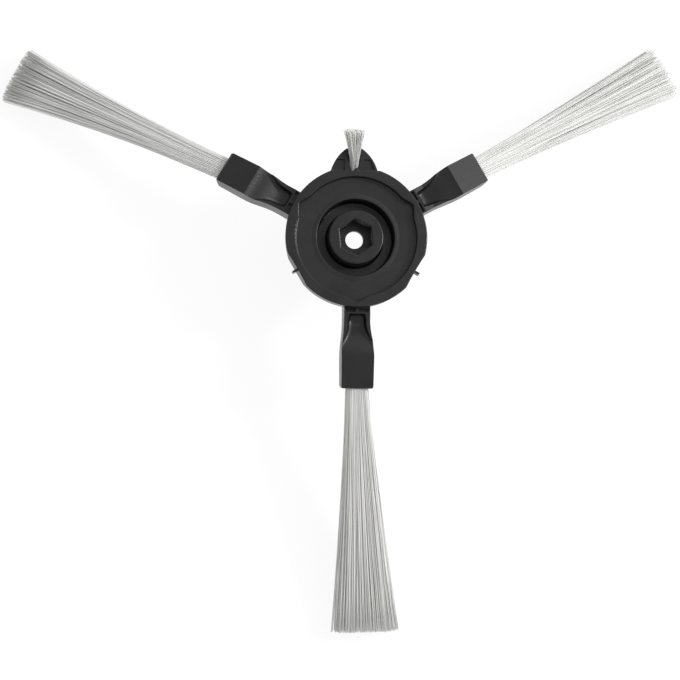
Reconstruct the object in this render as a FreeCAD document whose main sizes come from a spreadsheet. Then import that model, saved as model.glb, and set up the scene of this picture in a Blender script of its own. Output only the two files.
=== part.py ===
import FreeCAD, Part
import math
import os
import re
import Sketcher

# A robot vacuum side brush, in millimetres.
# The origin is on the hub's axis, at the floor of the drive socket, which is the screw hole's top end.
# +Z points along the axis to the robot, and +Y to the ear with the short tuft.
# One arm points to -Y, and the arm pattern carries it round to the other two.

SIZES = [
    ("rim_radius", 14.3, "outer radius of the cup's rim"),
    ("rim_height", 4.4, "rim's top above the socket floor"),
    ("skirt_height", 3.5, "height of the rim's outer wall"),
    ("skirt_draft", 0.25, "how far the outer wall leans in"),
    ("cup_radius", 12.2, "inner radius of the rim's land"),
    ("cup_depth", 1.35, "rim's top down to the dish's outer edge"),
    ("dish_fall", 0.1, "fall of the dish towards the well"),
    ("lip_radius", 8.85, "outer radius of the lip round the well"),
    ("lip_rise", 0.05, "height of the lip above the dish"),
    ("lip_slope", 0.6, "width of the slope up to the lip"),
    ("lip_round", 0.15, "rounding of the lip's inner edge"),
    ("dish_round", 0.25, "rounding between the dish and the rim's inner wall"),
    ("well_radius", 7.85, "radius of the well round the boss"),
    ("well_depth", 5.2, "rim's top down to the well's floor"),
    ("boss_radius", 5.55, "outer radius of the drive boss"),
    ("boss_drop", 0.35, "boss's top below the rim's top"),
    ("base_radius", 10.4, "radius of the hub's flat underside"),
    ("hub_depth", 4.4, "underside below the socket floor"),
    ("rim_round", 0.22, "rounding of the rim's edges"),
    ("boss_round", 0.35, "rounding of the boss's top edge"),
    ("well_round", 0.5, "rounding of the well's floor corners"),
    ("base_round", 2.4, "rounding of the underside's edge"),
    ("hex_width", 6.2, "drive socket across its flats"),
    ("hex_turn", 5, "turn of the socket, in degrees"),
    ("hex_lead", 0.4, "rounded lead-in of the socket"),
    ("screw_radius", 1.8, "radius of the screw hole"),
    ("screw_wall", 0.9, "thickness of the wall under the screw head"),
    ("recess_radius", 3.4, "radius of the screw head's recess"),
    ("dip_angle", 30, "dips in the rim below the X axis, in degrees"),
    ("dip_depth", 0.65, "depth of a dip"),
    ("dip_radius", 60, "radius of the curve that cuts a dip"),
    ("fin_length", 1.0, "how far a fin stands out of its dip"),
    ("fin_width", 0.45, "thickness of a fin"),
    ("fin_drop", 0.7, "fin's top below the rim's top"),
    ("fin_height", 1.7, "height of a fin"),
    ("notch_reach", 13.2, "radius of a rim notch's point"),
    ("notch_half", 2.5, "half width of a rim notch"),
    ("notch_nose", 0.9, "rounding of a rim notch's point"),
    ("notch_turn", 40, "half of that rounding's arc, in degrees"),
    ("chord_reach", 13.45, "flat behind the ear, from the axis"),
    ("nub_radius", 0.5, "radius of the nub on that flat"),
    ("ear_reach", 19.1, "ear's tip from the axis"),
    ("ear_nose", 3.2, "radius of the ear's nose"),
    ("nose_turn", 40, "half of the nose's arc, in degrees"),
    ("ear_half", 4.87, "half width of the ear at the flat"),
    ("ear_drop", 4.0, "ear's top below the rim's top"),
    ("ear_thickness", 3.4, "thickness of the ear"),
    ("ear_band", 2.6, "length of the ear's raised tip"),
    ("ear_lip", 0.5, "width of the ear's raised edge"),
    ("recess_half", 3.45, "half width of the ear's recesses at the raised tip"),
    ("ear_recess", 0.5, "depth of the ear's recesses and groove"),
    ("groove_root", 0.8, "half width of the ear's groove at the flat"),
    ("groove_half", 1.6, "half width of the ear's groove at its open end"),
    ("groove_rib", 0.35, "rib between the groove and a recess"),
    ("arm_drop", 2.3, "arm's top below the rim's top"),
    ("arm_reach", 30.25, "arm's end from the axis"),
    ("crease_radius", 23.8, "crease where the arm starts to droop"),
    ("droop", 15, "droop of the arm's pad and of its tuft, in degrees"),
    ("sweep", 2, "turn of the tuft in its arm, in degrees"),
    ("arm_root_thickness", 4.2, "thickness of the arm at the hub"),
    ("root_rise", 0.45, "how much the arm's top rises at its root"),
    ("root_slope", 1.9, "length of that rise, out from the channel's end"),
    ("arm_end_thickness", 4.3, "thickness of the arm at its end"),
    ("waist_radius", 16.3, "arm's waist from the axis"),
    ("waist_trail", 2.3, "waist's edge on the trailing side"),
    ("waist_lead", 2.95, "waist's edge on the leading side"),
    ("pad_trail", 2.75, "pad's edge on the trailing side, at the crease"),
    ("pad_lead", 3.8, "pad's edge on the leading side, at the crease"),
    ("pad_taper", 0.1, "how much the trailing edge draws in at the end"),
    ("arm_corner", 0.55, "rounding of the arm's end corners"),
    ("arm_bevel", 0.4, "bevel round the pad"),
    ("belly_start", 0.6, "where the arm's underside starts to fall, outside the rim"),
    ("root_start", 0.05, "plastic between the rim and the cored pocket"),
    ("root_gap", 0.7, "width of the cored pocket at the arm's root"),
    ("root_wall", 0.3, "wall at each end of the cored pocket"),
    ("root_depth", 0.9, "depth of the cored pocket"),
    ("root_rib", 0.7, "rib across the cored pocket"),
    ("bridge", 0.3, "thin wall between pocket and channel"),
    ("channel_wall", 0.85, "side wall of the arm's channel at the hub end"),
    ("channel_depth", 1.6, "depth of the channel at the hub end"),
    ("channel_round", 1.0, "rounding of the channel's floor corners"),
    ("mouth_offset", 0.68, "tuft slot's centre, to the leading side"),
    ("mouth_roof", 0.75, "plastic above the tuft slot"),
    ("slot_width", 4.7, "width of the tuft slot"),
    ("slot_height", 2.7, "height of the tuft slot"),
    ("slot_depth", 5.4, "depth of the tuft slot"),
    ("tuft_clearance", 0.06, "room between bristles and plastic"),
    ("fold_gap", 0.2, "room under the fold of a tuft"),
    ("fold_thickness", 0.45, "bristles between anchor and fold"),
    ("anchor_bite", 0.4, "how far an anchor bites in on each side"),
    ("anchor_thickness", 0.35, "thickness of a long tuft's anchor"),
    ("anchor_depth", 1.5, "width of a long tuft's anchor"),
    ("tip_thickness", 4.6, "thickness of a long tuft at its tip"),
    ("lower_length", 49.8, "lower tuft from its slot to its tip"),
    ("lower_width", 13.5, "width of the lower tuft's tip"),
    ("lower_lean", 1.28, "sideways lean of the lower tuft's tip"),
    ("lower_flare", 0.43, "share of the lower tuft's spread that has come by half its length"),
    ("right_length", 49.7, "right tuft from its slot to its tip"),
    ("right_width", 11.4, "width of the right tuft's tip"),
    ("right_lean", -1.52, "sideways lean of the right tuft's tip"),
    ("right_flare", 0.38, "share of the right tuft's spread that has come by half its length"),
    ("left_length", 48.9, "left tuft from its slot to its tip"),
    ("left_width", 11.8, "width of the left tuft's tip"),
    ("left_lean", 0.95, "sideways lean of the left tuft's tip"),
    ("left_flare", 0.27, "share of the left tuft's spread that has come by half its length"),
    ("short_rise", 40, "rise of the short tuft, in degrees"),
    ("short_root", 15.5, "short tuft's root from the axis"),
    ("short_radius", 0.95, "radius of the short tuft's hole"),
    ("short_flat", 0.1, "half of the straight part across that hole"),
    ("short_bite", 0.45, "how far the short tuft's anchor reaches past the hole's radius"),
    ("short_depth", 2.6, "depth of that hole below the ear's top"),
    ("short_length", 7.9, "length of the short tuft"),
    ("short_width", 4.5, "width of the short tuft's tip"),
    ("short_thickness", 1.4, "thickness of the short tuft's tip"),
    ("short_lean", 0.46, "sideways lean of the short tuft's tip, to the left"),
    ("short_flare", 0.5, "share of the short tuft's spread that has come by half its length"),
    ("short_clearance", 0.12, "room round the short tuft in its hole"),
    ("short_anchor_thickness", 0.25, "thickness of the short tuft's anchor"),
    ("short_anchor_depth", 0.9, "width of the short tuft's anchor"),
]
NAMES = {alias for alias, value, note in SIZES}

# The long tufts, from the arm that points to -Y on, anticlockwise.
LONG_TUFTS = ["lower", "right", "left"]

# Stations along an arm's channel, as shares: how far out to the crease, how deep, how much of the
# side walls is left, and how far the arm has widened from its waist.
CHANNEL = [
    (0, 0.55, 1.3, 0),
    (0.1, 1, 1, 0),
    (0.35, 0.9, 0.8, 0.13),
    (0.68, 0.45, -0.3, 0.74),
    (1, 0, -1.2, 1),
]

# Bumps along each broad side of a tuft, and round each of its two narrow ends.
SIDE_FLUTES = 7
END_FLUTES = 4
SHORT_SIDE_FLUTES = 3

# A bump's radius as a share of its width, on the broad sides and round the ends.
SIDE_ROUNDNESS = 0.58
END_ROUNDNESS = 0.8

# Room for cuts that end in free air, and a length that cuts right across an arm.
AIR = 6
ACROSS = 18

# How near an edge has to be to the place where it is looked for.
NEAR = 0.01


def place(x="0", y="0", z="0", yaw="0", pitch="0", roll="0"):
    """A formula for a place and a turn, rolled about X first, then pitched about Y, then yawed about Z."""
    return f"placement(vector({x}; {y}; {z}); rotation({yaw}; {pitch}; {roll}))"


ARM_TOP = "(rim_height - arm_drop)"
PAD_END = f"({ARM_TOP} - (arm_reach - crease_radius) * tan(droop))"
MOUTH_DEPTH = "(mouth_roof + slot_height / 2)"
MOUTH_RADIUS = f"(arm_reach - {MOUTH_DEPTH} * sin(droop))"
MOUTH_HEIGHT = f"({PAD_END} - {MOUTH_DEPTH} * cos(droop))"
MOUTH = place(x="mouth_offset", y=MOUTH_HEIGHT, z=MOUTH_RADIUS, pitch="sweep", roll="droop")
ARM_LOW = f"({ARM_TOP} - arm_root_thickness)"
ROOT_TOP = f"({ARM_TOP} + root_rise)"
CHANNEL_START = "(rim_radius + root_start + root_gap + bridge)"
EAR_TOP = "(rim_height - ear_drop)"
GROOVE_FLOOR = f"({EAR_TOP} - ear_recess)"
DISH_EDGE = "(rim_height - cup_depth)"
LIP_FOOT = f"({DISH_EDGE} - dish_fall)"
LIP_TOP = f"({LIP_FOOT} + lip_rise)"

doc = FreeCAD.newDocument("side_brush")
sheet = doc.addObject("Spreadsheet::Sheet", "Sizes")
for row, (alias, value, note) in enumerate(SIZES, start=1):
    sheet.set(f"A{row}", alias)
    sheet.set(f"B{row}", str(value))
    sheet.setAlias(f"B{row}", alias)
    sheet.set(f"C{row}", note)
doc.recompute()


def bound(text):
    """The text of a size or formula, with each size's name tied to its cell."""
    def cell(match):
        word = match.group()
        return "Sizes." + word if word in NAMES else word
    return re.sub(r"[a-z]\w*", cell, text)


def number(text):
    """What a size or formula comes to now."""
    value = sheet.evalExpression(bound(text))
    return float(getattr(value, "Value", value))


def new_body(label):
    body = doc.addObject("PartDesign::Body", label)
    body.Label = label
    return body


def origin_part(body, role):
    """One of the body's own planes or axes."""
    return [item for item in body.Origin.OriginFeatures if item.Role == role][0]


def new_sketch(body, name, plane, offset=None):
    drawing = body.newObject("Sketcher::SketchObject", name)
    drawing.AttachmentSupport = [(origin_part(body, plane), "")]
    drawing.MapMode = "FlatFace"
    if offset:
        drawing.setExpression("AttachmentOffset", bound(offset))
    return drawing


def pins(side, end, x, y):
    """What holds a point of the sketch at a distance from the origin each way."""
    held = []
    for kind, axis, text in (("DistanceX", -2, x), ("DistanceY", -1, y)):
        if text == "0":
            held.append((Sketcher.Constraint("PointOnObject", side, end, axis), None))
        else:
            held.append((Sketcher.Constraint(kind, -1, 1, side, end, number(text)), text))
    return held


def hold(drawing, held):
    """Adds the constraints and ties those that have a size to it."""
    places = drawing.addConstraint([constraint for constraint, text in held])
    for index, (constraint, text) in zip(places, held):
        if text:
            drawing.setExpression(f"Constraints[{index}]", bound(text))


def arc_between(start, end, radius, way):
    """The short arc from start to end: way is 1 anticlockwise, -1 clockwise."""
    chord = end - start
    across = FreeCAD.Vector(-chord.y, chord.x, 0).normalize()
    rise = math.sqrt(max(radius ** 2 - chord.Length ** 2 / 4, 0))
    centre = (start + end) / 2 + across * rise * way
    ends = [math.atan2(p.y - centre.y, p.x - centre.x) for p in (start, end)][::way]
    if ends[1] < ends[0]:
        ends[1] += 2 * math.pi
    return Part.ArcOfCircle(Part.Circle(centre, FreeCAD.Vector(0, 0, 1), radius), *ends)


def draw_loop(drawing, corners):
    """Draws a closed outline. A corner is (x, y) at the end of a straight side,
    or (x, y, radius, way) at the end of an arc."""
    points = [FreeCAD.Vector(number(corner[0]), number(corner[1]), 0) for corner in corners]
    sides = []
    for index, corner in enumerate(corners):
        start, end = points[index - 1], points[index]
        if len(corner) == 2:
            shape, first, last = Part.LineSegment(start, end), 1, 2
        else:
            shape = arc_between(start, end, number(corner[2]), corner[3])
            first, last = (1, 2)[::corner[3]]
        sides.append((drawing.addGeometry(shape, False), first, last))
    held = []
    for index, (side, first, last) in enumerate(sides):
        following, start = sides[(index + 1) % len(sides)][:2]
        held.append((Sketcher.Constraint("Coincident", side, last, following, start), None))
        held += pins(side, last, *corners[index][:2])
        if len(corners[index]) > 2:
            radius = corners[index][2]
            held.append((Sketcher.Constraint("Radius", side, number(radius)), radius))
    hold(drawing, held)


def draw_circle(drawing, x, y, radius):
    centre = FreeCAD.Vector(number(x), number(y), 0)
    circle = Part.Circle(centre, FreeCAD.Vector(0, 0, 1), number(radius))
    side = drawing.addGeometry(circle, False)
    size = (Sketcher.Constraint("Radius", side, number(radius)), radius)
    hold(drawing, pins(side, 3, x, y) + [size])


def finish_feature(body, feature, way):
    """Recomputes, and makes sure that the feature changed the solid the right way:
    way is 1 for more material, -1 for less."""
    before = feature.BaseFeature.Shape.Volume if feature.BaseFeature else 0
    doc.recompute()
    if feature.Shape.isNull() or (feature.Shape.Volume - before) * way <= 0:
        raise RuntimeError(f"{body.Label}: {feature.Name} did not change the solid as it should")
    return feature


def extrude(body, kind, drawing, length, other=None, symmetric=False, reverse=False):
    """A Pad or a Pocket of a sketch, bound to its length."""
    feature = body.newObject(f"PartDesign::{kind}", f"{drawing.Name}_{kind.lower()}")
    feature.Profile = drawing
    feature.setExpression("Length", bound(length))
    feature.Reversed = reverse
    if symmetric:
        feature.SideType = "Symmetric"
    if other:
        feature.SideType = "Two sides"
        feature.setExpression("Length2", bound(other))
    return finish_feature(body, feature, 1 if kind == "Pad" else -1)


def round_edges(body, name, kind, size, chosen, way=-1):
    """A Fillet or Chamfer of the edges of the body that the test picks."""
    base = body.Tip
    edges = [f"Edge{n}" for n, edge in enumerate(base.Shape.Edges, start=1) if chosen(edge)]
    feature = body.newObject(f"PartDesign::{kind}", name)
    feature.Base = (base, edges)
    feature.setExpression("Radius" if kind == "Fillet" else "Size", bound(size))
    finish_feature(body, feature, way)


def on_circle(edge, radius, height):
    """Whether an edge lies on a circle about the axis."""
    middle = edge.valueAt((edge.FirstParameter + edge.LastParameter) / 2)
    return level_at(edge, height) and abs(math.hypot(middle.x, middle.y) - number(radius)) < NEAR


def oval(width, height):
    """An outline with two straight sides and round ends, from its half width and half height."""
    flat = f"({width} - {height})"
    return [
        (f"-{flat}", f"-{height}", height, 1), (flat, f"-{height}"), (width, "0", height, 1),
        (flat, height, height, 1), (f"-{flat}", height), (f"-{width}", "0", height, 1),
    ]


def cup(body):
    """The turned form: rim, dish, well and boss above, and the rounded underside."""
    section = [
        ("0", "-hub_depth"),
        ("base_radius", "-hub_depth"),
        ("rim_radius - skirt_draft", "rim_height - skirt_height"),
        ("rim_radius", "rim_height"),
        ("cup_radius", "rim_height"),
        ("cup_radius", DISH_EDGE),
        ("lip_radius", LIP_FOOT),
        ("lip_radius - lip_slope", LIP_TOP),
        ("well_radius", LIP_TOP),
        ("well_radius", "rim_height - well_depth"),
        ("boss_radius", "rim_height - well_depth"),
        ("boss_radius", "rim_height - boss_drop"),
        ("0", "rim_height - boss_drop"),
    ]
    drawing = new_sketch(body, "cup_section", "XZ_Plane")
    draw_loop(drawing, section)
    turned = body.newObject("PartDesign::Revolution", "cup_turned")
    turned.Profile = drawing
    turned.ReferenceAxis = (drawing, ["V_Axis"])
    turned.Angle = 360
    finish_feature(body, turned, 1)

    round_edges(body, "boss_edge", "Fillet", "boss_round",
                lambda edge: on_circle(edge, "boss_radius", "rim_height - boss_drop"))
    round_edges(body, "well_corners", "Fillet", "well_round",
                lambda edge: on_circle(edge, "boss_radius", "rim_height - well_depth")
                or on_circle(edge, "well_radius", "rim_height - well_depth"), way=1)
    round_edges(body, "dish_corner", "Fillet", "dish_round",
                lambda edge: on_circle(edge, "cup_radius", DISH_EDGE), way=1)
    round_edges(body, "lip_edge", "Fillet", "lip_round",
                lambda edge: on_circle(edge, "well_radius", LIP_TOP))
    round_edges(body, "underside_edge", "Fillet", "base_round",
                lambda edge: on_circle(edge, "base_radius", "-hub_depth"))


def rim_shape(body):
    """The dips and fins at the rim's lower left and right, and the flat at the ear."""
    reach = "(rim_radius + dip_radius - dip_depth)"
    dips = new_sketch(body, "dips", "XY_Plane", place(z="rim_height"))
    for side in ("-", ""):
        draw_circle(dips, f"{side}{reach} * cos(dip_angle)", f"-{reach} * sin(dip_angle)", "dip_radius")
    extrude(body, "Pocket", dips, f"skirt_height + {AIR}")

    flat = new_sketch(body, "flat", "XY_Plane", place(z="rim_height"))
    draw_loop(flat, [("-rim_radius", "chord_reach"), ("rim_radius", "chord_reach"),
                     ("rim_radius", f"rim_radius + {AIR}"), ("-rim_radius", f"rim_radius + {AIR}")])
    extrude(body, "Pocket", flat, "ear_drop")


def fins(body):
    """A small fin at each dip, drawn on the left and mirrored."""
    root = "(rim_radius - dip_depth)"
    drawing = new_sketch(body, "fin", "XY_Plane",
                         place(z="rim_height - fin_drop - fin_height", yaw="180 + dip_angle"))
    inner, outer = f"{root} - fin_length", f"{root} + fin_length"
    draw_loop(drawing, [(inner, "-fin_width / 2"), (outer, "-fin_width / 2"),
                        (outer, "fin_width / 2"), (inner, "fin_width / 2")])
    fin = extrude(body, "Pad", drawing, "fin_height")
    mirrored = body.newObject("PartDesign::Mirrored", "right_fin")
    mirrored.Originals = [fin]
    mirrored.MirrorPlane = (origin_part(body, "YZ_Plane"), [""])
    body.Tip = mirrored
    finish_feature(body, mirrored, 1)


def ear(body):
    """The tongue at +Y, with its raised tip, two recesses, the tuft's groove and the nub."""
    plate = new_sketch(body, "ear_plate", "XY_Plane", place(z=f"{EAR_TOP} - ear_thickness"))
    side = "(ear_nose * sin(nose_turn))"
    height = "(ear_reach - ear_nose * (1 - cos(nose_turn)))"
    across, down = f"(ear_half - {side})", f"({height} - chord_reach)"
    lean = f"({down} * cos(nose_turn) - {across} * sin(nose_turn))"
    flank = f"({across} * {across} + {down} * {down}) / (2 * {lean})"
    draw_loop(plate, [("-ear_half", "base_radius"), ("ear_half", "base_radius"),
                      ("ear_half", "chord_reach"), (side, height, flank, 1),
                      (f"-{side}", height, "ear_nose", 1), ("-ear_half", "chord_reach", flank, 1)])
    extrude(body, "Pad", plate, "ear_thickness")

    start = "(ear_reach - ear_band)"
    rib = "(groove_half + groove_rib)"
    recesses = new_sketch(body, "ear_recesses", "XY_Plane", place(z=EAR_TOP))
    for sign in ("", "-"):
        draw_loop(recesses, [(f"{sign}{rib}", "chord_reach"), (f"{sign}(ear_half - ear_lip)", "chord_reach"),
                             (f"{sign}recess_half", start), (f"{sign}{rib}", start)])
    extrude(body, "Pocket", recesses, "ear_recess")

    groove = new_sketch(body, "ear_groove", "XY_Plane", place(z=EAR_TOP))
    draw_loop(groove, [("-groove_root", "chord_reach"), ("groove_root", "chord_reach"),
                       ("groove_half", "ear_reach + ear_lip"), ("-groove_half", "ear_reach + ear_lip")])
    extrude(body, "Pocket", groove, "ear_recess")

    nub = new_sketch(body, "nub", "XY_Plane", place(z=GROOVE_FLOOR))
    draw_circle(nub, "0", "chord_reach", "nub_radius")
    extrude(body, "Pad", nub, f"rim_height - {GROOVE_FLOOR}")


def swing(start, end):
    """The corners of an S-shaped edge between two points (offset, distance from the axis)
    of the arm that points to -Y. The edge runs along the arm at both of its ends."""
    (x0, r0), (x1, r1) = start, end
    run, shift = f"(({r1}) - ({r0}))", f"(({x1}) - ({x0}))"
    radius = f"({run} * {run} + {shift} * {shift}) / (4 * abs({shift}))"
    turns = 1 if number(run) * number(shift) > 0 else -1
    return [(f"(({x0}) + ({x1})) / 2", f"-(({r0}) + ({r1})) / 2", radius, turns),
            (x1, f"-({r1})", radius, -turns)]


def arm_outline(inside):
    """The plan of the arm that points to -Y, from a distance from the axis to its end."""
    trail_end = "(pad_trail - pad_taper)"
    return [
        ("-waist_trail", f"-({inside})"),
        ("-waist_trail", "-waist_radius"),
        *swing(("-waist_trail", "waist_radius"), ("-pad_trail", "crease_radius")),
        (f"-{trail_end}", "-(arm_reach - arm_corner)"),
        (f"-({trail_end} - arm_corner)", "-arm_reach", "arm_corner", 1),
        ("pad_lead - arm_corner", "-arm_reach"),
        ("pad_lead", "-(arm_reach - arm_corner)", "arm_corner", 1),
        ("pad_lead", "-crease_radius"),
        *swing(("pad_lead", "crease_radius"), ("waist_lead", "waist_radius")),
        ("waist_lead", f"-({inside})"),
    ]


def channel(body):
    """The arm's channel: it falls steeply at the hub end, has rounded floor corners, and rises and
    widens until it runs out at the crease."""
    run = f"(crease_radius - {CHANNEL_START})"
    sections = []
    for along, deep, wall, spread in CHANNEL:
        left = f"-(waist_trail + (pad_trail - waist_trail) * {spread} - channel_wall * {wall})"
        right = f"(waist_lead + (pad_lead - waist_lead) * {spread} - channel_wall * {wall})"
        floor = f"({ARM_TOP} - channel_depth * {deep})"
        drawing = new_sketch(body, f"channel_{len(sections)}", "XZ_Plane",
                             place(z=f"{CHANNEL_START} + {run} * {along}"))
        draw_loop(drawing, [
            (left, "rim_height"), (left, f"{floor} + channel_round"),
            (f"{left} + channel_round", floor, "channel_round", 1), (f"{right} - channel_round", floor),
            (right, f"{floor} + channel_round", "channel_round", 1), (right, "rim_height"),
        ])
        sections.append(drawing)
    cut = body.newObject("PartDesign::SubtractiveLoft", "channel")
    cut.Profile = sections[0]
    cut.Sections = sections[1:]
    return finish_feature(body, cut, -1)


def arm(body):
    """One arm and its notch in the rim: the features that the arm pattern repeats."""
    notch = new_sketch(body, "notch", "XY_Plane", place(z="rim_height"))
    shoulder = "-sqrt(cup_radius * cup_radius - notch_half * notch_half)"
    nose, inside = "(notch_nose * sin(notch_turn))", "-(cup_radius - notch_half)"
    nose_start = "-(notch_reach - notch_nose * (1 - cos(notch_turn)))"
    draw_loop(notch, [("-notch_half", shoulder), (f"-{nose}", nose_start),
                      (nose, nose_start, "notch_nose", 1), ("notch_half", shoulder),
                      ("notch_half", inside), ("-notch_half", inside)])
    features = [extrude(body, "Pocket", notch, "cup_depth")]

    slab = new_sketch(body, "arm_slab", "XY_Plane", place(z=ARM_LOW))
    draw_loop(slab, arm_outline("base_radius"))
    features.append(extrude(body, "Pad", slab, "arm_root_thickness + root_rise"))
    end_low = f"({PAD_END} - arm_end_thickness * cos(droop))"
    belly = new_sketch(body, "arm_belly", "XY_Plane", place(z=end_low))
    draw_loop(belly, arm_outline("rim_radius + belly_start"))
    features.append(extrude(body, "Pad", belly, f"{ARM_LOW} - {end_low}"))

    profile = new_sketch(body, "arm_profile", "YZ_Plane")
    draw_loop(profile, [
        ("-(rim_radius + belly_start)", ARM_LOW),
        ("-(arm_reach - arm_end_thickness * sin(droop))", end_low),
        ("-arm_reach", PAD_END), ("-crease_radius", ARM_TOP),
        (f"-({CHANNEL_START} + root_slope)", ARM_TOP), (f"-{CHANNEL_START}", ROOT_TOP),
        (f"-{CHANNEL_START}", f"{ARM_TOP} + {AIR}"), (f"-(arm_reach + {AIR})", f"{ARM_TOP} + {AIR}"),
        (f"-(arm_reach + {AIR})", f"{end_low} - {AIR}"),
        ("-(rim_radius + belly_start)", f"{end_low} - {AIR}"),
    ])
    features.append(extrude(body, "Pocket", profile, f"{ACROSS}", symmetric=True))
    features.append(channel(body))

    middle = "((waist_lead - waist_trail) / 2)"
    near, far = "-(rim_radius + root_start)", "-(rim_radius + root_start + root_gap)"
    pocket = new_sketch(body, "root_pocket", "XY_Plane", place(z=ROOT_TOP))
    for left, right in ((f"-(waist_trail - root_wall)", f"{middle} - root_rib / 2"),
                        (f"{middle} + root_rib / 2", "waist_lead - root_wall")):
        draw_loop(pocket, [(left, near), (right, near), (right, far), (left, far)])
    features.append(extrude(body, "Pocket", pocket, "root_depth"))

    slot = new_sketch(body, "tuft_slot", "XZ_Plane", MOUTH)
    draw_loop(slot, oval("slot_width / 2", "slot_height / 2"))
    features.append(extrude(body, "Pocket", slot, "slot_depth", other=f"{AIR}"))
    bites = new_sketch(body, "anchor_bites", "XZ_Plane", MOUTH)
    bite, half = "(slot_width / 2 + anchor_bite)", "anchor_thickness / 2"
    draw_loop(bites, [(f"-{bite}", f"-{half}"), (bite, f"-{half}"), (bite, half), (f"-{bite}", half)])
    features.append(extrude(body, "Pocket", bites, "slot_depth - fold_gap - fold_thickness", other=f"{AIR}"))
    return features


def three_arms(body, features):
    """Repeats the arm's features once for each long tuft."""
    pattern = body.newObject("PartDesign::PolarPattern", "three_arms")
    pattern.Originals = features
    pattern.Axis = (origin_part(body, "Z_Axis"), [""])
    pattern.Angle = 360
    pattern.Occurrences = len(LONG_TUFTS)
    body.Tip = pattern
    finish_feature(body, pattern, 1)


def drive_socket(body):
    """The hexagonal socket in the boss, the screw hole under it and the screw head's recess."""
    socket = new_sketch(body, "socket", "XY_Plane", place(yaw="hex_turn"))
    point, half = "(hex_width / sqrt(3))", "hex_width / 2"
    draw_loop(socket, [("0", point), (f"-{half}", f"{point} / 2"), (f"-{half}", f"-{point} / 2"),
                       ("0", f"-{point}"), (half, f"-{point} / 2"), (half, f"{point} / 2")])
    extrude(body, "Pocket", socket, "rim_height", reverse=True)
    round_edges(body, "socket_lead", "Fillet", "hex_lead", socket_mouth)

    hole = new_sketch(body, "screw_hole", "XY_Plane")
    draw_circle(hole, "0", "0", "screw_radius")
    extrude(body, "Pocket", hole, "hub_depth")

    recess = new_sketch(body, "screw_recess", "XY_Plane", place(z="-screw_wall"))
    draw_circle(recess, "0", "0", "recess_radius")
    extrude(body, "Pocket", recess, "hub_depth")


def socket_mouth(edge):
    """Whether an edge is one of the socket's sides at the boss's top."""
    corner = number("hex_width / sqrt(3)")
    ends = [math.hypot(vertex.X, vertex.Y) for vertex in edge.Vertexes]
    corners = len(ends) == 2 and all(abs(end - corner) < NEAR for end in ends)
    return corners and level_at(edge, "rim_height - boss_drop")


def level_at(edge, height):
    """Whether a whole edge lies at one height."""
    box = edge.BoundBox
    return abs(box.ZMin - number(height)) < NEAR and abs(box.ZMax - number(height)) < NEAR


def short_tuft_hole(body):
    """The slanting blind hole of the short tuft, which leaves a trough in the ear's groove."""
    mouth = place(y=GROOVE_FLOOR, z="-short_root", pitch="180", roll="-short_rise")
    hole = new_sketch(body, "short_hole", "XZ_Plane", mouth)
    draw_loop(hole, oval("(short_radius + short_flat)", "short_radius"))
    extrude(body, "Pocket", hole, "short_depth", other="short_radius / sin(short_rise)")

    bites = new_sketch(body, "short_bites", "XZ_Plane", mouth)
    reach, half = "(short_radius + short_bite)", "short_anchor_thickness / 2"
    draw_loop(bites, [(f"-{reach}", f"-{half}"), (reach, f"-{half}"), (reach, half), (f"-{reach}", half)])
    extrude(body, "Pocket", bites, "short_depth - fold_gap - fold_thickness")


def soften(body):
    """Takes the sharpness off the rim and off the arms' pads, all round from the end edge."""
    round_edges(body, "pad_bevel", "Chamfer", "arm_bevel", lambda edge: level_at(edge, PAD_END))
    round_edges(body, "rim_edges", "Fillet", "rim_round", lambda edge: level_at(edge, "rim_height"))


def fluted(width, height, flutes):
    """A bundle's oval outline in shallow bumps, from its half width and half height."""
    flat = f"({width} - {height})"
    side_bump = f"{SIDE_ROUNDNESS} * 2 * {flat} / {flutes}"
    end_bump = f"{END_ROUNDNESS} * 2 * {height} * sin(90 / {END_FLUTES})"
    corners = []
    for side, end in (("-", ""), ("", "-")):
        corners.append((f"{side}{flat}", f"{side}{height}", end_bump, 1))
        for step in range(1, flutes + 1):
            corners.append((f"{side}{flat} * (1 - 2 * {step} / {flutes})", f"{side}{height}", side_bump, 1))
        for step in range(1, END_FLUTES):
            angle = f"(90 - 180 * {step} / {END_FLUTES})"
            across = f"{end}({flat} + {height} * cos{angle})"
            corners.append((across, f"{side}{height} * sin{angle}", end_bump, 1))
    return corners


def tuft(label, root, tip, hole, straight, length, lean, flare, anchor, flutes):
    """Bristles folded over their anchor at the bottom of the hole, spreading to a square-cut tip
    from a straight stretch past the mouth, slowly at first and faster from the middle on.
    The tuft's own frame has its origin at the hole's mouth, +Z out of it and X across the fan.
    The anchor is its thickness, its width along the hole and how far it reaches to each side."""
    body = new_body(label)
    fold = f"({hole} - fold_gap)"
    sections = []
    half = [f"({small} + ({large} - {small}) * {flare})" for small, large in zip(root, tip)]
    middle = f"(({length} + {straight}) / 2)"
    for name, size, height, shift in (("fold", root, f"-{fold}", "0"), ("mouth", root, straight, "0"),
                                      ("middle", half, middle, f"{lean} / 2"),
                                      ("tip", tip, length, lean)):
        drawing = new_sketch(body, f"{label}_{name}", "XY_Plane", place(x=shift, z=height))
        draw_loop(drawing, fluted(*size, flutes))
        sections.append(drawing)
    fan = body.newObject("PartDesign::AdditiveLoft", f"{label}_bristles")
    fan.Profile = sections[0]
    fan.Sections = sections[1:]
    fan.Ruled = True
    finish_feature(body, fan, 1)

    thickness, width, reach = anchor
    seat = new_sketch(body, f"{label}_seat", "YZ_Plane")
    low, high = f"-({fold} - fold_thickness)", f"-({fold} - fold_thickness - {width})"
    draw_loop(seat, [(f"-{thickness} / 2", low), (f"{thickness} / 2", low),
                     (f"{thickness} / 2", high), (f"-{thickness} / 2", high)])
    extrude(body, "Pocket", seat, f"2 * {reach}", symmetric=True)
    return body


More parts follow.
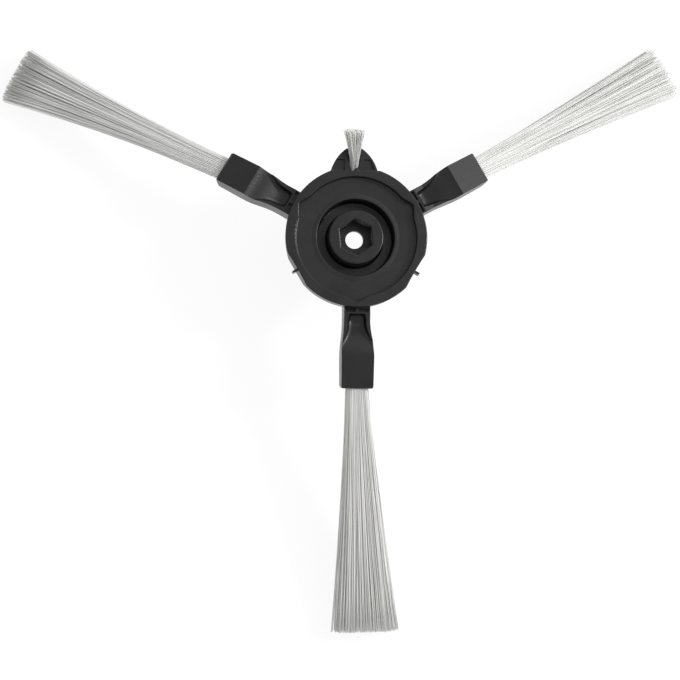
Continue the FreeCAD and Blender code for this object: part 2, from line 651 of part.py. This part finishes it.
def tuft_anchor(label, hole, anchor):
    """The flat wire that holds a tuft down, in the tuft's own frame."""
    thickness, width, reach = anchor
    body = new_body(label)
    low = f"-({hole} - fold_gap - fold_thickness)"
    drawing = new_sketch(body, f"{label}_section", "XY_Plane", place(z=low))
    draw_loop(drawing, [(f"-{reach}", f"-{thickness} / 2"), (reach, f"-{thickness} / 2"),
                        (reach, f"{thickness} / 2"), (f"-{reach}", f"{thickness} / 2")])
    extrude(body, "Pad", drawing, width)
    return body


def set_in_hole(body, turn, mouth, yaw, roll):
    """Puts a tuft or an anchor in its hole: the arm's turn, the mouth's place and the hole's slant."""
    way = f"{place(yaw=turn)} * {place(*mouth, roll='90')} * {place(pitch=yaw, roll=roll)}"
    body.setExpression("Placement", bound(way))


def export(bodies):
    """Checks the whole document, then writes one file for each piece."""
    doc.recompute()
    for item in doc.Objects:
        if "Invalid" in item.State or "Error" in item.State:
            raise RuntimeError(f"{item.Label} is {item.State}")
    os.makedirs("parts", exist_ok=True)
    for body in bodies:
        if body.Shape.isNull() or not body.Shape.isValid():
            raise RuntimeError(f"{body.Label} has no sound shape")
        print(body.Label, round(body.Shape.Volume, 2), "mm3,", len(body.Shape.Solids), "solid")
        body.Shape.exportStep(f"parts/{body.Label}.step")


def side_brush():
    """The whole brush, one object for each piece."""
    hub = new_body("hub_moulding")
    cup(hub)
    rim_shape(hub)
    fins(hub)
    ear(hub)
    three_arms(hub, arm(hub))
    drive_socket(hub)
    short_tuft_hole(hub)
    soften(hub)
    bodies = [hub]

    root = ("(slot_width / 2 - 2 * tuft_clearance)", "(slot_height / 2 - 2 * tuft_clearance)")
    anchor = ("anchor_thickness", "anchor_depth", "(slot_width / 2 + anchor_bite)")
    mouth = ("mouth_offset", f"-{MOUTH_RADIUS}", MOUTH_HEIGHT)
    for index, name in enumerate(LONG_TUFTS):
        turn = f"(360 * {index} / {len(LONG_TUFTS)})"
        tip = (f"({name}_width / 2)", "(tip_thickness / 2)")
        pieces = [tuft(f"{name}_tuft", root, tip, "slot_depth", "0", f"{name}_length", f"{name}_lean",
                       f"{name}_flare", anchor, SIDE_FLUTES),
                  tuft_anchor(f"{name}_tuft_anchor", "slot_depth", anchor)]
        for piece in pieces:
            set_in_hole(piece, turn, mouth, "sweep", "droop")
        bodies += pieces

    radius = "(short_radius - short_clearance)"
    anchor = ("short_anchor_thickness", "short_anchor_depth", "(short_radius + short_bite)")
    root, tip = (f"({radius} + short_flat)", radius), ("(short_width / 2)", "(short_thickness / 2)")
    straight = "(short_radius / tan(short_rise))"
    pieces = [tuft("short_tuft", root, tip, "short_depth", straight, "short_length", "short_lean",
                   "short_flare", anchor, SHORT_SIDE_FLUTES),
              tuft_anchor("short_tuft_anchor", "short_depth", anchor)]
    for piece in pieces:
        set_in_hole(piece, 0, ("0", "short_root", GROOVE_FLOOR), "180", "-short_rise")
    return bodies + pieces


export(side_brush())
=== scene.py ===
import math
import random

import bpy
from mathutils import Matrix, Vector

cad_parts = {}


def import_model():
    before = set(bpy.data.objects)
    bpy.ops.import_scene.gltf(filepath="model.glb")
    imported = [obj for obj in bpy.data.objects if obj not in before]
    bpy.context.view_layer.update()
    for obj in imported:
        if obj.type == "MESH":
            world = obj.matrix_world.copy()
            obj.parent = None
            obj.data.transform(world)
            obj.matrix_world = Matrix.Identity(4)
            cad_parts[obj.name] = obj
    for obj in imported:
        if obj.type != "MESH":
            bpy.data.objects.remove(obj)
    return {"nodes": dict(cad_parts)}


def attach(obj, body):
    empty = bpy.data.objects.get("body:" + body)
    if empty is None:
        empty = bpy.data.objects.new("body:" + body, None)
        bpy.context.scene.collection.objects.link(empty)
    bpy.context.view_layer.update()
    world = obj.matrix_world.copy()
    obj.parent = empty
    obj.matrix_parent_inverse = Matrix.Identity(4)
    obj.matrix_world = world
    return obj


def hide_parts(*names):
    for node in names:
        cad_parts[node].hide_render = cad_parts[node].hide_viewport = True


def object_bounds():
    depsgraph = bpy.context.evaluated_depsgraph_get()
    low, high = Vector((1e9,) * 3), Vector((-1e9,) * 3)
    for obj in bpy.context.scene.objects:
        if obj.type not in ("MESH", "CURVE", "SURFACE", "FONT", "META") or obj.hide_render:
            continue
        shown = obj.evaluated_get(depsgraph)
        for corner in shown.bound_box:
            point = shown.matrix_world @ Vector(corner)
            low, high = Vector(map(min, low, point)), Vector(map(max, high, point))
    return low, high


# A robot vacuum side brush, seen from the side that faces the robot. The moulding and the anchor
# wires are the frame's own pieces. The tufts are built here from single nylon bristles, each folded
# over the wire that holds it. Sizes are in millimetres and turned to metres where a mesh is made.

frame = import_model()
cad_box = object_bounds()

MM = 0.001

# The slot in each arm that holds a long tuft: its mouth in the arm that points to -Y, and its turns.
MOUTH = (0.68, -29.71, -1.66)
SWEEP = 2
DROOP = 15
SLOT_HALF = (2.23, 1.23)
SLOT_DEPTH = 5.2

# The hole of the short tuft behind the ear's nub.
SHORT_MOUTH = (0, 15.5, -0.1)
SHORT_RISE = 40
SHORT_HALF = (0.93, 0.83)
SHORT_DEPTH = 2.4
SHORT_STRAIGHT = 1.13
SHORT_LENGTH = 7.8
SHORT_LEAN = 0.46
SHORT_FLARE = 0.5
SHORT_TIP_HALF = (2.22, 0.69)

# How deep the bristles lie behind their anchor wire, and half of the wires' thickness.
FOLD = 0.42
WIRE_HALF = 0.18
SHORT_WIRE_HALF = 0.13

TIP_HALF_THICKNESS = 2.27
# A flare is the share of a tuft's spread that has come by half its length.
LONG_TUFTS = [
    {"name": "lower", "turn": 0, "length": 49.7, "half_width": 6.72, "lean": 1.28, "flare": 0.43,
     "seed": 11},
    {"name": "right", "turn": 120, "length": 49.6, "half_width": 5.67, "lean": -1.52, "flare": 0.38,
     "seed": 23},
    {"name": "left", "turn": 240, "length": 48.8, "half_width": 5.87, "lean": 0.95, "flare": 0.27,
     "seed": 37},
]

# The bristles gather in locks: so many along each broad side of a tuft and round each end, and how
# round each lock is, as its radius against its width.
SIDE_LOCKS = 7
SHORT_SIDE_LOCKS = 3
END_LOCKS = 4
SIDE_ROUNDNESS = 0.58
END_ROUNDNESS = 0.8

# Sides of a bristle, and steps along each leg and round the fold.
BRISTLE_SIDES = 6
LEG_STEPS = 7
FOLD_STEPS = 6

# Strands in a long and in the short tuft, their radius in millimetres, and how much light they let
# through.
LONG_STRANDS = 360
LONG_STRAND_RADIUS = 0.062
SHORT_STRANDS = 66
SHORT_STRAND_RADIUS = 0.06
SHORT_SEED = 51
MILKINESS = 0.3

# Two steps whose multiples fall evenly over a square, which scatter the strands, and where the
# scatter of the lower half starts, in strands.
SCATTER_STEPS = (0.7548776662, 0.5698402910)
LOWER_START = 5

# How far bristles stray in their tuft, as shares of it, and how they bow and end, in millimetres.
STRAY_ACROSS = 0.05
STRAY_UP = 0.16
BOW = 0.06
RAGGED_END = 0.09

# The camera, from a fit to the photograph: its tip and turn in degrees, where it stands from the
# rim's top, its focal length and picture in pixels, its sensor's width, and how far it sees in metres.
RIM_TOP = 4.4
CAMERA_TILT = -8.2
CAMERA_SWING = 6.0
CAMERA_PLACE = (-3.33, -20.76, 600)
FOCAL_PIXELS = 3000
PICTURE_PIXELS = 680
SENSOR = 36
FAR_END = 10

# The white room: how much of the paper's look is plain white, the light on the object as a share
# of full white, the paper's side in metres, and its gap under the part in millimetres.
WHITE = (1, 1, 1, 1)
PAPER_GLOW = 0.9
ROOM_LIGHT = 0.8
PAPER_SIDE = 4
PAPER_GAP = 0.02

# The lamps: the way to each from the hub, its distance and side in metres, and its power in watts.
KEY_SOFTBOX = ((0.6, 0.32, 0.74), 0.7, 0.5, 2.0)
EDGE_SOFTBOX = ((0.78, 0.1, 0.62), 0.7, 0.1, 3.6)


def hex_colour(text):
    """An sRGB hex colour as linear red, green, blue and alpha."""
    parts = [int(text[i:i + 2], 16) / 255 for i in (1, 3, 5)]
    return [c / 12.92 if c <= 0.04045 else ((c + 0.055) / 1.055) ** 2.4 for c in parts] + [1.0]


def node(tree, kind, sockets=None, **settings):
    """Adds a node. A socket is given its value, or is linked to another node's output."""
    made = tree.nodes.new(kind)
    for name, value in settings.items():
        setattr(made, name, value)
    for name, value in (sockets or {}).items():
        if isinstance(value, bpy.types.NodeSocket):
            tree.links.new(value, made.inputs[name])
        else:
            made.inputs[name].default_value = value
    return made


def new_material(name):
    made = bpy.data.materials.new(name)
    made.use_nodes = True
    made.node_tree.nodes.clear()
    return made, made.node_tree


def ramp(tree, factor, stops):
    """A colour ramp with its two stops set."""
    made = node(tree, "ShaderNodeValToRGB", {"Fac": factor})
    for element, (place, colour) in zip(made.color_ramp.elements, stops):
        element.position = place
        element.color = colour
    return made.outputs["Color"]


def seen(tree):
    """1 where the surroundings are looked at, in a reflection or through glass too, and else 0."""
    ray = node(tree, "ShaderNodeLightPath").outputs
    looked = node(tree, "ShaderNodeMath", {0: ray["Is Camera Ray"], 1: ray["Is Glossy Ray"]},
                  operation="MAXIMUM")
    looked = node(tree, "ShaderNodeMath", {0: looked.outputs[0], 1: ray["Is Transmission Ray"]},
                  operation="MAXIMUM")
    return looked.outputs[0]


def moulded_black_abs():
    """Injection-moulded black ABS: a dark satin skin with a fine spark-eroded grain that breaks up
    highlights, faint clouding, and patches that shine a little more. The grain is drawn coarser than
    the real one of about 0.1 mm, so that it shows."""
    material, tree = new_material("moulded_black_abs")
    place = node(tree, "ShaderNodeTexCoord").outputs["Object"]
    grain_size = 0.3 * MM
    cloud_size = 6 * MM
    grain = node(tree, "ShaderNodeTexNoise", {"Vector": place, "Scale": 1 / grain_size, "Detail": 3.0,
                                              "Roughness": 0.65})
    cloud = node(tree, "ShaderNodeTexNoise", {"Vector": place, "Scale": 1 / cloud_size, "Detail": 4.0,
                                              "Roughness": 0.55})
    colour = ramp(tree, cloud.outputs["Fac"], [(0.3, hex_colour("#0f0f10")), (0.7, hex_colour("#161617"))])
    gloss = node(tree, "ShaderNodeMapRange", {"Value": cloud.outputs["Fac"], "From Min": 0.3,
                                              "From Max": 0.7, "To Min": 0.26, "To Max": 0.34})
    bump = node(tree, "ShaderNodeBump", {"Height": grain.outputs["Fac"], "Strength": 0.6,
                                         "Distance": 0.04 * MM})
    skin = node(tree, "ShaderNodeBsdfPrincipled", {"Base Color": colour, "IOR": 1.5,
                                                   "Specular IOR Level": 0.28,
                                                   "Roughness": gloss.outputs["Result"],
                                                   "Normal": bump.outputs["Normal"]})
    node(tree, "ShaderNodeOutputMaterial", {"Surface": skin.outputs["BSDF"]})
    return material


def pale_nylon_bristle():
    """Extruded nylon bristles: milky pale grey, slightly glossy along their length, letting a little
    light through, each one a little lighter or darker than the next."""
    material, tree = new_material("pale_nylon_bristle")
    shade = node(tree, "ShaderNodeAttribute", attribute_name="bristle_shade")
    colour = ramp(tree, shade.outputs["Fac"], [(0.0, hex_colour("#d9d9d7")), (1.0, hex_colour("#ebebe9"))])
    skin = node(tree, "ShaderNodeBsdfPrincipled", {"Base Color": colour, "Roughness": 0.45, "IOR": 1.53})
    milk = node(tree, "ShaderNodeBsdfTranslucent", {"Color": colour})
    mixed = node(tree, "ShaderNodeMixShader", {0: MILKINESS, 1: skin.outputs["BSDF"],
                                               2: milk.outputs["BSDF"]})
    node(tree, "ShaderNodeOutputMaterial", {"Surface": mixed.outputs[0]})
    return material


def drawn_steel_wire():
    """Drawn flat steel wire: bright metal whose gloss changes finely from place to place."""
    material, tree = new_material("drawn_steel_wire")
    place = node(tree, "ShaderNodeTexCoord").outputs["Object"]
    mark_size = 0.08 * MM
    marks = node(tree, "ShaderNodeTexNoise", {"Vector": place, "Scale": 1 / mark_size, "Detail": 2.0})
    gloss = node(tree, "ShaderNodeMapRange", {"Value": marks.outputs["Fac"], "To Min": 0.25,
                                              "To Max": 0.42})
    skin = node(tree, "ShaderNodeBsdfPrincipled", {"Base Color": hex_colour("#b9bbbd"), "Metallic": 1.0,
                                                   "Roughness": gloss.outputs["Result"]})
    node(tree, "ShaderNodeOutputMaterial", {"Surface": skin.outputs["BSDF"]})
    return material


def white_paper_sweep():
    """Matt white paper: seen by the camera and in reflections it is nearly white all over, with the
    object's soft shadow on it."""
    material, tree = new_material("white_paper_sweep")
    share = node(tree, "ShaderNodeMath", {0: seen(tree), 1: PAPER_GLOW}, operation="MULTIPLY")
    paper = node(tree, "ShaderNodeBsdfDiffuse", {"Color": hex_colour("#f4f4f4")})
    glow = node(tree, "ShaderNodeEmission", {"Color": WHITE, "Strength": 1.0})
    mixed = node(tree, "ShaderNodeMixShader", {0: share.outputs[0], 1: paper.outputs[0],
                                               2: glow.outputs[0]})
    node(tree, "ShaderNodeOutputMaterial", {"Surface": mixed.outputs[0]})
    return material


def scattered(count, half_width, half_height, start):
    """Evenly scattered places in the upper half of an oval, each as shares of the oval:
    how far across at its height, from -1 to 1, and how high, from 0 to 1."""
    across_step, up_step = SCATTER_STEPS
    flat = half_width - half_height
    places = []
    index = start
    while len(places) < count:
        index += 1
        x = (2 * (index * across_step % 1) - 1) * half_width
        up = index * up_step % 1
        reach = flat + half_height * math.sqrt(1 - up * up)
        if abs(x) < reach:
            places.append((x / reach, up))
    return places


def bulge(offset, chord, roundness):
    """How high a lock's arc stands over its chord, at an offset from the chord's middle."""
    radius = roundness * chord
    return math.sqrt(radius ** 2 - offset ** 2) - math.sqrt(radius ** 2 - chord ** 2 / 4)


def in_bundle(place, half_width, half_height, side_locks):
    """Where a scattered place lies in a bundle's section, whose outline swells at each lock."""
    across, up = place
    flat = half_width - half_height
    x = across * (flat + half_height * math.sqrt(max(1 - up * up, 0)))
    y = up * half_height
    if abs(x) <= flat:
        chord = 2 * flat / side_locks
        offset = ((x + flat) / chord % 1 - 0.5) * chord
        return x, y * (1 + bulge(offset, chord, SIDE_ROUNDNESS) / half_height)
    beyond = math.copysign(abs(x) - flat, x)
    sector = math.pi / END_LOCKS
    chord = 2 * half_height * math.sin(sector / 2)
    share = math.atan2(y, abs(beyond)) / sector % 1 - 0.5
    swell = 1 + bulge(share * chord, chord, END_ROUNDNESS) / half_height
    return math.copysign(flat, x) + beyond * swell, y * swell


def tube(path, radius, sides, points, faces):
    """Adds a closed round tube along a path of vectors to the lists of a mesh."""
    first = len(points)
    for index, spot in enumerate(path):
        ahead = path[min(index + 1, len(path) - 1)] - path[max(index - 1, 0)]
        ahead.normalize()
        across = Vector((1, 0, 0))
        across = (across - across.dot(ahead) * ahead).normalized()
        up = ahead.cross(across)
        for side in range(sides):
            turn = 2 * math.pi * side / sides
            points.append(spot + (across * math.cos(turn) + up * math.sin(turn)) * radius)
    for ring in range(len(path) - 1):
        low = first + ring * sides
        for side in range(sides):
            following = (side + 1) % sides
            faces.append((low + side, low + following, low + sides + following, low + sides + side))
    last = first + (len(path) - 1) * sides
    faces.append(tuple(range(first + sides - 1, first - 1, -1)))
    faces.append(tuple(range(last, last + sides)))


def bristle(places, sizes, chance):
    """The path of one bristle: out of the mouth on both sides of the wire that it is folded over.
    Its places say where it lies in the upper and the lower half of the section."""
    root, tip, lean = sizes["root"], sizes["tip"], sizes["lean"]
    curve = math.log(sizes["flare"], 0.5)
    near = sizes["wire_half"] + sizes["radius"]
    legs = []
    for side, (across, up) in zip((1, -1), places):
        x, y = in_bundle((across, up), *root, sizes["locks"])
        mouth = Vector((x, (near + y * (root[1] - near) / root[1]) * side, sizes["straight"]))
        across = max(-1, min(1, across + chance.gauss(0, STRAY_ACROSS)))
        up = max(-1, min(1, up * side + chance.gauss(0, STRAY_UP)))
        x, y = in_bundle((across, up), *tip, sizes["locks"])
        end = Vector((x, y, sizes["length"] - abs(chance.gauss(0, RAGGED_END))))
        bow = Vector((chance.gauss(0, BOW), chance.gauss(0, BOW), 0))
        leg = [Vector((mouth.x, mouth.y, FOLD - sizes["depth"])), mouth]
        for step in range(1, LEG_STEPS + 1):
            share = step / LEG_STEPS
            spot = mouth.lerp(end, share ** curve)
            spot.z = mouth.z + (end.z - mouth.z) * share
            spot.x += lean * share
            leg.append(spot + bow * math.sin(math.pi * share))
        legs.append(leg)
    upper, lower = legs
    middle, half = (upper[0] + lower[0]) / 2, (upper[0] - lower[0]) / 2
    sag = FOLD * abs(half.y) / root[1]
    fold = []
    for step in range(1, FOLD_STEPS):
        turn = math.pi * step / FOLD_STEPS
        fold.append(middle + half * math.cos(turn) - Vector((0, 0, sag * math.sin(turn))))
    return upper[::-1] + fold + lower


def tuft(name, placing, sizes, strands, seed):
    """A tuft of bristles in its own frame, with +Z out of the mouth and X across the fan, then placed."""
    chance = random.Random(seed)
    radius = sizes["radius"]
    inner = dict(sizes)
    inner["root"] = [half - radius for half in sizes["root"]]
    inner["tip"] = [half - radius for half in sizes["tip"]]
    upper = scattered(strands, *inner["root"], seed)
    lower = scattered(strands, *inner["root"], seed + LOWER_START * strands)
    points, faces, shades = [], [], []
    for places in zip(upper, lower):
        before = len(faces)
        tube(bristle(places, inner, chance), radius, BRISTLE_SIDES, points, faces)
        shades += [chance.random()] * (len(faces) - before)
    mesh = bpy.data.meshes.new(f"{name}_bristles")
    mesh.from_pydata([placing @ point * MM for point in points], [], faces)
    shade_layer = mesh.attributes.new("bristle_shade", "FLOAT", "FACE")
    shade_layer.data.foreach_set("value", shades)
    mesh.polygons.foreach_set("use_smooth", [len(face) == 4 for face in faces])
    mesh.validate()
    mesh.materials.append(NYLON)
    piece = bpy.data.objects.new(f"{name}_bristles", mesh)
    bpy.context.scene.collection.objects.link(piece)
    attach(piece, "root")
    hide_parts(name)


def turned(axis, degrees):
    return Matrix.Rotation(math.radians(degrees), 4, axis)


def long_tufts():
    for facts in LONG_TUFTS:
        placing = (turned("Z", facts["turn"]) @ Matrix.Translation(MOUTH) @ turned("X", 90)
                   @ turned("Y", SWEEP) @ turned("X", DROOP))
        sizes = {"root": SLOT_HALF, "tip": (facts["half_width"], TIP_HALF_THICKNESS), "depth": SLOT_DEPTH,
                 "length": facts["length"], "straight": 0, "wire_half": WIRE_HALF,
                 "radius": LONG_STRAND_RADIUS, "locks": SIDE_LOCKS, "lean": facts["lean"],
                 "flare": facts["flare"]}
        tuft(f"{facts['name']}_tuft", placing, sizes, LONG_STRANDS, facts["seed"])


def short_tuft():
    placing = (Matrix.Translation(SHORT_MOUTH) @ turned("X", 90) @ turned("Y", 180)
               @ turned("X", -SHORT_RISE))
    sizes = {"root": SHORT_HALF, "tip": SHORT_TIP_HALF, "depth": SHORT_DEPTH, "length": SHORT_LENGTH,
             "straight": SHORT_STRAIGHT, "wire_half": SHORT_WIRE_HALF,
             "radius": SHORT_STRAND_RADIUS, "locks": SHORT_SIDE_LOCKS, "lean": SHORT_LEAN,
             "flare": SHORT_FLARE}
    tuft("short_tuft", placing, sizes, SHORT_STRANDS, SHORT_SEED)


def dress_frame(material, *names):
    """Gives the frame's own pieces a better material."""
    for name in names:
        for slot in frame["nodes"][name].material_slots:
            slot.material = material


def floor():
    bpy.ops.mesh.primitive_plane_add(size=PAPER_SIDE, location=(0, 0, cad_box[0][2] - PAPER_GAP * MM))
    sweep = bpy.context.object
    sweep.name = "paper_sweep"
    sweep.data.materials.append(white_paper_sweep())


def world():
    """White where it is seen or reflected, and a soft plain light on the object."""
    made = bpy.data.worlds.new("white_room")
    bpy.context.scene.world = made
    made.use_nodes = True
    tree = made.node_tree
    tree.nodes.clear()
    soft = node(tree, "ShaderNodeBackground", {"Color": WHITE, "Strength": ROOM_LIGHT})
    white = node(tree, "ShaderNodeBackground", {"Color": WHITE, "Strength": 1.0})
    mixed = node(tree, "ShaderNodeMixShader", {0: seen(tree), 1: soft.outputs[0], 2: white.outputs[0]})
    node(tree, "ShaderNodeOutputWorld", {"Surface": mixed.outputs[0]})


def softbox(name, towards, distance, size, watts):
    """A square lamp that stands off in a direction and faces the hub."""
    lamp = bpy.data.lights.new(name, "AREA")
    lamp.shape = "SQUARE"
    lamp.size = size
    lamp.energy = watts
    held = bpy.data.objects.new(name, lamp)
    way = Vector(towards).normalized()
    held.location = way * distance
    held.rotation_euler = way.to_track_quat("Z", "Y").to_euler()
    bpy.context.scene.collection.objects.link(held)


def camera():
    """Looks down on the hub from far off, tipped a little as in the photograph."""
    turn = turned("X", CAMERA_TILT) @ turned("Y", CAMERA_SWING)
    lens = bpy.data.cameras.new("view")
    lens.sensor_width = SENSOR
    lens.lens = SENSOR * FOCAL_PIXELS / PICTURE_PIXELS
    lens.clip_end = FAR_END
    held = bpy.data.objects.new("view", lens)
    rim_top = Matrix.Translation((0, 0, RIM_TOP * MM))
    held.matrix_world = rim_top @ turn.transposed() @ Matrix.Translation(Vector(CAMERA_PLACE) * MM)
    bpy.context.scene.collection.objects.link(held)
    bpy.context.scene.camera = held


NYLON = pale_nylon_bristle()
dress_frame(moulded_black_abs(), "hub_moulding")
dress_frame(drawn_steel_wire(), "lower_tuft_anchor", "right_tuft_anchor", "left_tuft_anchor",
            "short_tuft_anchor")
long_tufts()
short_tuft()
floor()
world()
softbox("key_softbox", *KEY_SOFTBOX)
softbox("edge_softbox", *EDGE_SOFTBOX)
camera()
bpy.context.scene.view_settings.view_transform = "Standard"
